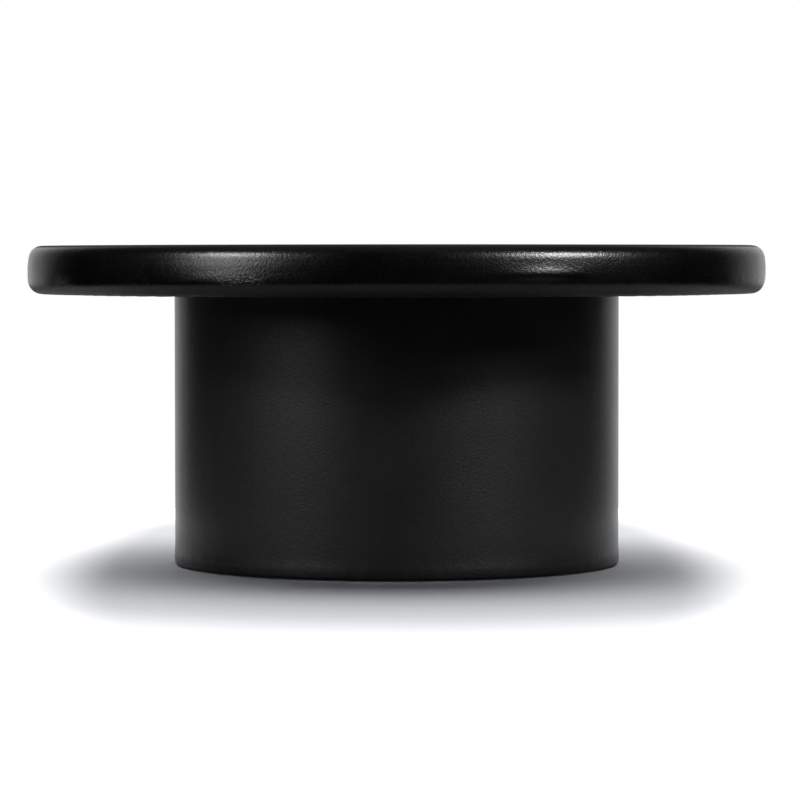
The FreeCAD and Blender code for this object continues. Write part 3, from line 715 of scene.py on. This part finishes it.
# The leather over the top: one round of the same hide, wetted, stretched over the edge and turned
# under. Round the lower edge the spare leather gathers in small wrinkles, and underneath in
# flattened pleats.
TOP_RADIUS = 0.508
TABLE_TOP = 0.440
UNDERSIDE = 0.374
EDGE_ROUND = 0.0195
TOP_TURN_UNDER_END = 0.4335
EDGE_COUNT = 720
EDGE_POLISH = 0.16
FLAT_PEBBLE_DEPTH = 0.00012
FLAT_GLOSS = 0.04
FLAT_SWELL = 0.0002
EDGE_CROWN = 0.0005
EDGE_SLOW_SWELL = 0.0002
EDGE_MEDIUM_SWELL = 0.0001
EDGE_GATHER = 0.0002
GATHER_LEVEL = 0.396
UPPER_PULL = 0.0010
UPPER_LEAN = 0.0002
LOWER_PULL = 0.0006
LOWER_LEAN = 0.0004
TOP_PLEAT = 0.0009
PRESSED_RADIUS = 0.4555
FLAT_MARGIN = 0.0006
WRINKLE_DEPTH = 3.75
# Turn in degrees, level, half length, half height and how far each fuller place stands out.
FULLER_PLACES = (
    (-115, 0.3925, 0.075, 0.013, 0.0014),
    (-68.5, 0.402, 0.055, 0.008, 0.0018),
    (-30, 0.397, 0.050, 0.010, 0.0007),
    (28, 0.396, 0.065, 0.011, 0.0009),
    (71, 0.402, 0.040, 0.009, 0.0008),
    (118, 0.395, 0.080, 0.012, 0.0010),
    (163, 0.399, 0.045, 0.010, 0.0008),
    (204, 0.396, 0.060, 0.011, 0.0009),
)
# Turn in degrees and strength.
WRINKLED_PLACES = (
    (-112.5, 0.6), (-70, 0.2), (33, 0.5), (64, 0.8), (96, 0.5), (131, 0.9), (172, 0.6), (210, 0.7),
)


def on_rounded_edge(tree, place):
    """1 on the rounded edges of the top, where hands rub it."""
    up = sums(tree, "ABSOLUTE", facing_of(tree)["Z"])
    return sums(tree, "MULTIPLY", graded(tree, up, 0.15, 0.5), graded(tree, up, 1.0, 0.85))


def gathered_wrinkles(tree, place):
    """Fine creases along the lower half of the edge, in patches."""
    across = split(tree, place)
    turn = sums(tree, "ARCTAN2", across["Y"], across["X"])
    along = sums(tree, "MULTIPLY", turn, TOP_RADIUS)
    drawn_out = joined(tree, sums(tree, "MULTIPLY", along, 0.3), across["Z"], 0.0)
    flow = noise(tree, drawn_out, scale=280.0, detail=3.0, roughness=0.6, distortion=0.8)
    ridge = sums(tree, "ABSOLUTE", sums(tree, "SUBTRACT", flow, 0.5))
    creases = graded(tree, ridge, 0.13, 0.0)
    below_middle = graded(tree, across["Z"], 0.404, 0.397)
    above_turn = graded(tree, across["Z"], 0.378, 0.384)
    low_down = sums(tree, "MULTIPLY", below_middle, above_turn)
    patches = 0.0
    for middle, strength in WRINKLED_PLACES:
        off = sums(tree, "SUBTRACT", turn, math.radians(middle))
        off = sums(tree, "ABSOLUTE", sums(tree, "WRAP", off, math.pi, -math.pi))
        patches = sums(tree, "MAXIMUM", patches, graded(tree, off, 0.09, 0.02, 0.0, strength))
    amount = sums(tree, "MULTIPLY", sums(tree, "MULTIPLY", low_down, patches), -WRINKLE_DEPTH)
    return sums(tree, "MULTIPLY", creases, amount)


def circle(count):
    """Evenly spaced angles, once round."""
    return np.arange(count) * (2 * math.pi / count)


def make_top_leather():
    """One closed sheet: over the flat, round the edge and under, and back inside."""
    slow = waves(seed=21, count=8, lowest=4, highest=15, height_rate=40.0)
    medium = waves(seed=22, count=10, lowest=18, highest=44, height_rate=60.0)
    gathers = waves(seed=23, count=14, lowest=70, highest=150, height_rate=90.0)
    flat_waves = waves(seed=24, count=6, lowest=2, highest=7, height_rate=14.0)
    edge = circle(EDGE_COUNT)
    straight = TABLE_TOP - UNDERSIDE - 2 * EDGE_ROUND
    middle = (TABLE_TOP + UNDERSIDE) / 2
    corner = TOP_RADIUS - EDGE_ROUND

    def flat_count(radius):
        """How many points a ring on the flat has, fewer towards the middle."""
        for limit, count in ((0.05, 45), (0.105, 90), (0.205, 180), (0.405, 360)):
            if radius < limit:
                return count
        return EDGE_COUNT

    def flat_lift(angles, radius):
        """How far the flat of the top rises and falls, in metres."""
        return FLAT_SWELL * flat_waves(angles, radius) * min(1.0, radius / 0.08)

    def edge_swell(height):
        """How far the padding and the slack leather push the edge out, in metres."""
        across = (height - middle) / (straight / 2)
        crown = EDGE_CROWN * np.maximum(0.0, 1 - (across / 1.9) ** 2)
        lower = 1 / (1 + np.exp((height - GATHER_LEVEL) / 0.004))
        return (
            crown + EDGE_SLOW_SWELL * slow(edge, height) + EDGE_MEDIUM_SWELL * medium(edge, height)
            + EDGE_GATHER * lower * gathers(edge, height) + fuller_places(height)
        )

    def fuller_places(height):
        """Long low swellings where the padding under the leather is thicker."""
        swelling = 0.0
        for turn, level, length, depth, amount in FULLER_PLACES:
            off = (edge - math.radians(turn) + math.pi) % (2 * math.pi) - math.pi
            along = bell(off * TOP_RADIUS, length)
            swelling = swelling + amount * along * bell(height - level, depth)
        return swelling

    def shoulder(above):
        """How far the tight leather flattens the upper edge, this far above the upright part."""
        return (UPPER_PULL - UPPER_LEAN * np.cos(edge)) * bell(above - 0.004, 0.0085)

    def slack_corner(below):
        """How far the lower edge is pulled in, this far below the upright part."""
        return (LOWER_PULL + LOWER_LEAN * np.cos(edge)) * bell(below - 0.007, 0.009)

    rings = [np.array([[0.0, 0.0, TABLE_TOP]])]
    for radius in np.concatenate([
        [0.011, 0.023, 0.036], np.arange(0.05, 0.105, 0.014), np.arange(0.112, 0.46, 0.013),
        np.linspace(0.462, corner, 8),
    ]):
        angles = circle(flat_count(radius))
        rings.append(ring_at(angles, radius, TABLE_TOP + flat_lift(angles, radius)))
    top_corner = TABLE_TOP - EDGE_ROUND
    low_corner = UNDERSIDE + EDGE_ROUND
    top_swell = edge_swell(top_corner)
    top_lift = flat_lift(edge, corner)
    for tilt in np.linspace(0, math.pi / 2, 14)[1:-1]:
        off = top_lift * math.cos(tilt) ** 2 + top_swell * math.sin(tilt) ** 2
        reach = EDGE_ROUND + off - shoulder(EDGE_ROUND * (math.pi / 2 - tilt))
        rings.append(ring_at(
            edge, corner + reach * math.sin(tilt), top_corner + reach * math.cos(tilt)
        ))
    for height in np.linspace(top_corner, low_corner, 26):
        pulled_in = shoulder(height - top_corner) + slack_corner(low_corner - height)
        rings.append(ring_at(edge, TOP_RADIUS + edge_swell(height) - pulled_in, height))
    low_swell = edge_swell(low_corner)
    for tilt in np.linspace(0, math.pi / 2, 14)[1:]:
        off = low_swell * math.cos(tilt) + 0.0001 * math.sin(tilt) * gathers(edge, 0.39)
        reach = EDGE_ROUND + off - slack_corner(EDGE_ROUND * tilt)
        rings.append(ring_at(
            edge, corner + reach * math.cos(tilt), low_corner - reach * math.sin(tilt)
        ))
    pleats = np.maximum(gathers(edge, 0.38), 0.0) * 1.6
    for radius in np.linspace(corner, TOP_TURN_UNDER_END, 20)[1:]:
        pressed = 1 / (1 + np.exp((radius - PRESSED_RADIUS) / 0.0012))
        folded = np.clip((corner - radius) / 0.02, 0.0, 1.0)
        drop = TOP_PLEAT * folded * pleats * (1 - pressed) + 0.0001 * (1 - pressed)
        rings.append(ring_at(edge, radius, UNDERSIDE + 0.00003 - drop))
    inner_top = TABLE_TOP - LEATHER_THICK
    inner_low = UNDERSIDE + LEATHER_THICK
    inner_round = EDGE_ROUND - LEATHER_THICK
    rings.append(ring_at(edge, TOP_TURN_UNDER_END, inner_low))
    rings.append(ring_at(edge, 0.46, inner_low))
    for tilt in np.linspace(math.pi / 2, 0, 6):
        rings.append(ring_at(
            edge, corner + inner_round * math.cos(tilt), low_corner - inner_round * math.sin(tilt)
        ))
    for tilt in np.linspace(math.pi / 2, 0, 6):
        rings.append(ring_at(
            edge, corner + inner_round * math.sin(tilt), top_corner + inner_round * math.cos(tilt)
        ))
    for radius in (0.44, 0.38, 0.3, 0.2, 0.15, 0.1, 0.07, 0.045, 0.02):
        rings.append(ring_at(circle(flat_count(radius)), radius, inner_top))
    rings.append(np.array([[0.0, 0.0, inner_top]]))
    return woven_rings("top_leather", rings[::-1], loop=False)


top_leather = make_top_leather()
top_leather.data.materials.append(leather_finish(
    "top_leather_finish", PEBBLE_DEPTH, EDGE_POLISH,
    rub_mask=on_rounded_edge, extra_height=gathered_wrinkles,
))
top_leather.data.materials.append(leather_finish(
    "flat_leather_finish", FLAT_PEBBLE_DEPTH, FLAT_POLISH, gloss=FLAT_GLOSS
))
for polygon in top_leather.data.polygons:
    if polygon.center.z > TABLE_TOP - FLAT_MARGIN:
        polygon.material_index = 1
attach(top_leather, "table")
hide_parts("top_hide")
dress(staple_wire, "hide_staples")


# The dust cloth under the top: thin black non-woven cloth, cut round and stapled over the
# turned-under leather. The drum clamps it in the middle, and it sags a little between the drum and
# the staples.
CLOTH_BLACK = (0.010, 0.010, 0.011, 1)
CLOTH_FIBRE = (0.035, 0.035, 0.037, 1)
CLOTH_THICK = 0.0007
CLOTH_RADIUS = 0.4515
CLOTH_STEP = 0.4331
CLOTH_STAPLE_RADIUS = 0.4465
CLOTH_LOW = 0.3732
CLOTH_HIGH = 0.37472
CLOTH_STAPLES = 72
CLOTH_COUNT = 720
CLOTH_INNER_EDGE = 0.225
CLOTH_OUTER_EDGE = 0.309
CLOTH_MIDDLE_SAG = 0.0016
CLOTH_OUTER_SAG = 0.0009
CLOTH_SAG_CHANGE = 0.0004
CLOTH_FRAY = 0.0005
CLOTH_DENT = 0.0003
CLOTH_PULL = 0.0005
CLOTH_LAST_RING = 0.4508


def dust_cloth_finish():
    """Matted black fibres, pressed together at small bonded spots."""
    finish, tree, shader = new_finish(
        "dust_cloth", {"Specular IOR Level": 0.1, "Sheen Weight": 0.2, "Sheen Roughness": 0.5}
    )
    place = place_of(tree)
    fibres = noise(tree, place, scale=1400.0, detail=4.0, roughness=0.7, distortion=1.5)
    spots = texture(
        tree, "ShaderNodeTexVoronoi", "Distance", Vector=place, Scale=650.0, Randomness=0.25
    )
    bonds = graded(tree, spots, 0.32, 0.18)
    thick = noise(tree, place, scale=45.0, detail=3.0, roughness=0.6)
    feed(tree, shader.inputs["Base Color"], tinted(
        tree, sums(tree, "MULTIPLY", fibres, graded(tree, thick, 0.3, 0.7, 0.4, 1.0)),
        CLOTH_BLACK, CLOTH_FIBRE,
    ))
    feed(tree, shader.inputs["Roughness"], graded(tree, bonds, 0.0, 1.0, 0.95, 0.6))
    height = sums(tree, "SUBTRACT", fibres, sums(tree, "MULTIPLY", bonds, 0.8))
    roughen(tree, shader, height, distance=0.00015)
    return finish


def make_dust_cloth():
    """One closed sheet: its underside from the middle outwards, its cut edge, and back above."""
    slow = waves(seed=31, count=8, lowest=3, highest=11, height_rate=30.0)
    fray = waves(seed=32, count=16, lowest=25, highest=110, height_rate=0.0)

    def count_at(radius):
        """How many points a ring has, fewer towards the middle."""
        for limit, count in ((0.05, 45), (0.105, 90), (0.205, 180), (0.302, 360)):
            if radius < limit:
                return count
        return CLOTH_COUNT

    def bottom(angles, radius):
        """The height of the underside of the cloth."""
        sag = 0.0
        if radius < CLOTH_INNER_EDGE:
            sag = 1 - (radius / CLOTH_INNER_EDGE) ** 2
            sag = sag * (CLOTH_MIDDLE_SAG + CLOTH_SAG_CHANGE * slow(angles, radius))
        elif radius > CLOTH_OUTER_EDGE:
            between = (radius - CLOTH_OUTER_EDGE) / (CLOTH_STEP - CLOTH_OUTER_EDGE)
            between = np.clip(between, 0.0, 1.0)
            sag = 4 * between * (1 - between)
            sag = sag * (CLOTH_OUTER_SAG + CLOTH_SAG_CHANGE * slow(angles, radius))
        step = 0.5 - 0.5 * math.tanh((CLOTH_STEP - 0.0006 - radius) / 0.0008)
        height = CLOTH_HIGH - sag + (CLOTH_LOW - CLOTH_HIGH) * step
        dent = staple_dents(angles, radius, CLOTH_STAPLE_RADIUS, CLOTH_STAPLES)
        spacing = 2 * math.pi / CLOTH_STAPLES
        between_staples = 0.5 - 0.5 * np.cos(angles / spacing * 2 * math.pi + math.pi)
        pull = bell(radius - CLOTH_STAPLE_RADIUS, 0.012)
        return height + CLOTH_DENT * dent - CLOTH_PULL * pull * (1 - between_staples)

    radii = np.concatenate([
        [0.011, 0.023, 0.036], np.arange(0.05, 0.105, 0.014), np.arange(0.112, 0.302, 0.013),
        np.linspace(0.303, 0.428, 14), np.linspace(0.430, 0.4355, 9),
        np.linspace(0.4375, CLOTH_LAST_RING, 12),
    ])
    rings = [np.array([[0.0, 0.0, CLOTH_HIGH - CLOTH_MIDDLE_SAG]])]
    for radius in radii:
        angles = circle(count_at(radius))
        rings.append(ring_at(angles, radius, bottom(angles, radius)))
    rim = circle(CLOTH_COUNT)
    cut_edge = CLOTH_RADIUS - 0.0004 + CLOTH_FRAY * fray(rim, 0.0)
    rim_height = bottom(rim, CLOTH_LAST_RING)
    rings.append(ring_at(rim, cut_edge, rim_height + 0.0001))
    rings.append(ring_at(rim, cut_edge, rim_height + CLOTH_THICK - 0.0001))
    for radius in reversed(radii[::2]):
        angles = circle(count_at(radius))
        rings.append(ring_at(angles, radius, bottom(angles, radius) + CLOTH_THICK))
    rings.append(np.array([[0.0, 0.0, CLOTH_HIGH - CLOTH_MIDDLE_SAG + CLOTH_THICK]]))
    return woven_rings("dust_cloth", rings, loop=False)


dust_cloth = make_dust_cloth()
dust_cloth.data.materials.append(dust_cloth_finish())
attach(dust_cloth, "table")
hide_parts("underside_lining")
dress(staple_wire, "lining_staples")


# The four bolts that hold the top to the drum: zinc-plated hexagon bolts with wide washers.
# They go up through the top ring into threaded inserts in the lower panel.
dress(plated_steel, "threaded_inserts", "bolt_washers", "top_bolts")


# The floor: a round of plain pale paint, matt and faintly uneven, which keeps the table's shadow,
# though painted light narrows the shadow at its sides. Further off the floor turns to the white of
# the background, and seen from below it is clear.
FLOOR_RADIUS = 1.2
FLOOR_COUNT = 128
# The middle of the oval of painted light round the shadow, and how much longer it is than wide.
SHADOW_X = -0.006
SHADOW_Y = 0.1
SHADOW_LENGTH = 4.5
# How far from the middle the white starts and is full, and how strong it is.
ALL_ROUND_FROM = (0.75, 1.1)
ALL_ROUND_GLOW = (0.004, 0.35)
SIDES_NEARER = 1.25
# At the sides the white is painted light, which glows inside the table's shadow and narrows it.
SIDES_FROM = (0.37, 0.505)
SIDES_PAINTED_LIGHT = (0.0, 0.62)
FLOOR_PALE = (0.90, 0.91, 0.94, 1)
FLOOR_PALER = (0.92, 0.93, 0.955, 1)


def floor_finish():
    """Matt pale paint with painted light beside the shadow, white further off, clear from below."""
    finish, tree, shader = new_finish(
        "pale_floor", {"Roughness": 0.95, "Specular IOR Level": 0.0, "Emission Strength": 1.0}
    )
    place = place_of(tree)
    tone = noise(tree, place, scale=3.0, detail=3.0)
    feed(tree, shader.inputs["Base Color"], tinted(tree, tone, FLOOR_PALE, FLOOR_PALER))
    ray = tree.nodes.new("ShaderNodeLightPath").outputs
    seen = sums(tree, "MAXIMUM", ray["Is Camera Ray"], ray["Is Transmission Ray"])
    mirrored = sums(tree, "MAXIMUM", seen, ray["Is Glossy Ray"])
    across = split(tree, place)
    far_off = sums(tree, "MULTIPLY", across["X"], SIDES_NEARER)
    far_off = vectors(tree, "LENGTH", joined(tree, far_off, across["Y"], 0.0))
    all_round = graded(tree, far_off, *ALL_ROUND_FROM, *ALL_ROUND_GLOW)
    all_round = sums(tree, "MULTIPLY", mirrored, all_round)
    # Painted light: a glow beside the table, seen by the camera, which narrows its shadow at the
    # sides.
    aside = sums(tree, "SUBTRACT", across["X"], SHADOW_X)
    ahead = sums(tree, "SUBTRACT", across["Y"], SHADOW_Y)
    ahead = sums(tree, "DIVIDE", ahead, SHADOW_LENGTH)
    aside = vectors(tree, "LENGTH", joined(tree, aside, ahead, 0.0))
    at_sides = graded(tree, aside, *SIDES_FROM, *SIDES_PAINTED_LIGHT)
    at_sides = sums(tree, "MULTIPLY", seen, at_sides)
    feed(tree, shader.inputs["Emission Color"], sums(tree, "ADD", all_round, at_sides))
    from_below = tree.nodes.new("ShaderNodeNewGeometry").outputs["Backfacing"]
    came_through = sums(tree, "GREATER_THAN", ray["Transparent Depth"], 0.5)
    clear = sums(tree, "MAXIMUM", from_below, came_through)
    feed(tree, shader.inputs["Alpha"], sums(tree, "SUBTRACT", 1.0, clear))
    return finish


floor = woven_rings("floor", [
    *[ring_at(circle(FLOOR_COUNT), radius, 0.0) for radius in (FLOOR_RADIUS, 0.8, 0.4)],
    np.array([[0.0, 0.0, 0.0]]),
], loop=False)
floor.data.materials.append(floor_finish())


# The light: two pairs of softboxes in front for the sheen, and one wide soft light overhead.
# The backdrop behind the table is white and the room in front unlit, with a dim fill from the sides
# and from below.
SOFTBOX_DISTANCE = 3.0
SOFTBOX_AIM = (0.0, -0.3, 0.4)
OVERHEAD_STRENGTH = 2.85
OVERHEAD_SPREAD = math.radians(80)
OVERHEAD_TILT = math.radians(-21)
FILL_DIM = (0.010, 0.0105, 0.0125, 1)
FILL_SIDES = (0.15, 0.158, 0.18, 1)
FILL_BELOW = (0.6, 0.6, 0.6, 1)
WHITE = (1, 1, 1, 1)


def add_softbox(name, turn, lift, width, height, glow):
    """A soft lamp aimed at the edge of the top, seen only in its sheen. Turn is from the camera's
    side and lift above the level, in degrees."""
    aim = np.array(SOFTBOX_AIM)
    turn = math.radians(turn)
    lift = math.radians(lift)
    away = np.array([
        math.sin(turn) * math.cos(lift), -math.cos(turn) * math.cos(lift), math.sin(lift)
    ])
    lamp = bpy.data.lights.new(name, "AREA")
    lamp.shape = "RECTANGLE"
    lamp.size = width
    lamp.size_y = height
    lamp.energy = glow * math.pi * width * height
    softbox = bpy.data.objects.new(name, lamp)
    bpy.context.scene.collection.objects.link(softbox)
    softbox.location = aim + away * SOFTBOX_DISTANCE
    from_lamp = aim - np.array(softbox.location)
    level = math.hypot(from_lamp[0], from_lamp[1])
    softbox.rotation_euler = (
        math.atan2(level, -from_lamp[2]), 0, math.atan2(from_lamp[1], from_lamp[0]) - math.pi / 2
    )
    softbox.visible_diffuse = False
    softbox.visible_camera = False


add_softbox("left_softbox", turn=-54, lift=20, width=1.0, height=1.5, glow=18)
add_softbox("left_strip", turn=-56.5, lift=29, width=0.62, height=0.4, glow=118)
add_softbox("right_softbox", turn=55, lift=26, width=1.2, height=0.95, glow=22)
add_softbox("right_strip", turn=55.5, lift=29.5, width=0.95, height=0.4, glow=162)

main_light = bpy.data.lights.new("overhead_light", "SUN")
main_light.energy = OVERHEAD_STRENGTH
main_light.angle = OVERHEAD_SPREAD
main_lamp = bpy.data.objects.new("overhead_light", main_light)
bpy.context.scene.collection.objects.link(main_lamp)
main_lamp.rotation_euler = (OVERHEAD_TILT, 0, 0)
main_lamp.visible_glossy = False

world = bpy.data.worlds.new("white_room")
bpy.context.scene.world = world
world.use_nodes = True
world.cycles.sampling_method = "NONE"
room = world.node_tree
direction = split(room, room.nodes.new("ShaderNodeTexCoord").outputs["Generated"])
sideways = graded(room, sums(room, "ABSOLUTE", direction["X"]), 0.4, 0.95)
fill = tinted(room, sideways, FILL_DIM, FILL_SIDES)
fill = tinted(room, graded(room, direction["Z"], -0.5, -0.8), fill, FILL_BELOW)
from_behind = sums(room, "ADD", direction["Y"], sums(room, "MULTIPLY", direction["X"], 0.05))
backdrop = sums(
    room, "MULTIPLY", graded(room, from_behind, 0.55, 1.0), graded(room, direction["Z"], -0.4, 0.0)
)
ceiling = graded(room, direction["Z"], 0.6, 0.95, 0.005, 0.35)
mirrored = sums(room, "MAXIMUM", backdrop, ceiling)
ray = room.nodes.new("ShaderNodeLightPath").outputs
plain_view = sums(room, "MAXIMUM", ray["Is Camera Ray"], ray["Is Transmission Ray"])
level = tinted(room, ray["Is Glossy Ray"], fill, mirrored)
level = tinted(room, plain_view, level, WHITE)
feed(room, room.nodes["Background"].inputs["Color"], level)


# The camera: far away, just under the level of the top, so that only the edge and the drum show.
# Its place, tilt and lens are the ones fitted to the outline in the photograph.
CAMERA_PLACE = (0.0047, -5.138, 0.422)
CAMERA_TILT = 0.0381
CAMERA_ROLL = 0.0009
CAMERA_LENS = 166.9

camera_data = bpy.data.cameras.new("camera")
camera_data.lens = CAMERA_LENS
camera_data.sensor_width = 36.0
camera = bpy.data.objects.new("camera", camera_data)
bpy.context.scene.collection.objects.link(camera)
camera.location = CAMERA_PLACE
camera.rotation_euler = (math.pi / 2 - CAMERA_TILT, CAMERA_ROLL, 0)
bpy.context.scene.camera = camera
bpy.context.scene.view_settings.view_transform = "Standard"
